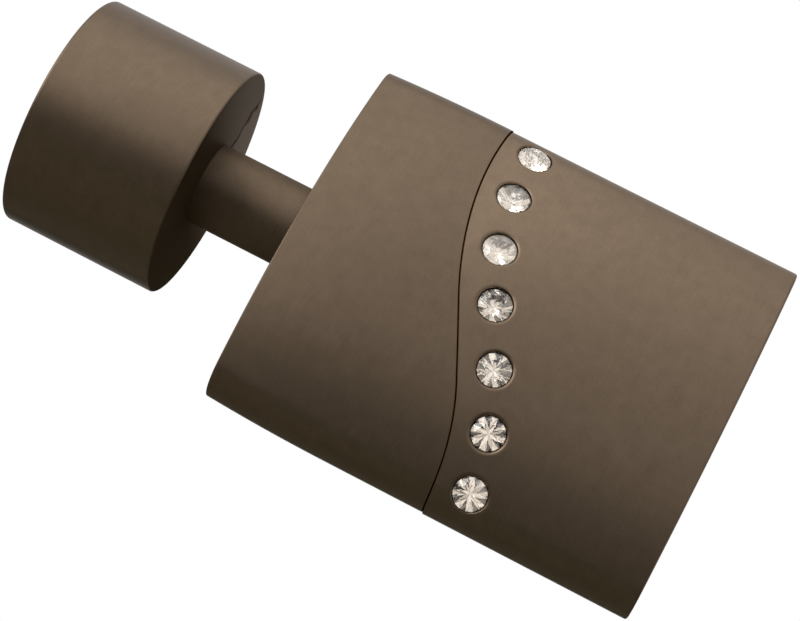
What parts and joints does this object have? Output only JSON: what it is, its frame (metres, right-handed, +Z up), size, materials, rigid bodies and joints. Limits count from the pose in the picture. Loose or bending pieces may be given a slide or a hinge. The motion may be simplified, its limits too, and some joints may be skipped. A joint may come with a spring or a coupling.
{
  "type": "curtain pole finial",
  "caption": "Curtain pole finial with a round socket cap, a short neck and a flat oval head, split by an S-shaped seam beside a row of faceted crystals.",
  "frame": {"origin": "centre of the socket's mouth, where the pole enters the cap", "axes": "+X along the pole's axis from the mouth to the head's far end, +Z up along the head's width, -Y out of the face with the crystals"},
  "size_m": [0.0955, 0.0333, 0.0524],
  "materials": {
    "lacquered_metal": "satin brown lacquer over brushed metal",
    "steel": "plain zinc-plated steel",
    "crystal": "faceted clear glass with a mirrored back"
  },
  "bodies": {
    "root": {"end_cap": "lacquered_metal", "neck_spacer": "lacquered_metal", "inner_body": "lacquered_metal", "outer_body": "lacquered_metal", "grub_screw": "steel", "fixing_screw": "steel", "upper_pin": "steel", "lower_pin": "steel", "crystal_1": "crystal", "crystal_2": "crystal", "crystal_3": "crystal", "crystal_4": "crystal", "crystal_5": "crystal", "crystal_6": "crystal", "crystal_7": "crystal"}
  },
  "joints": []
}
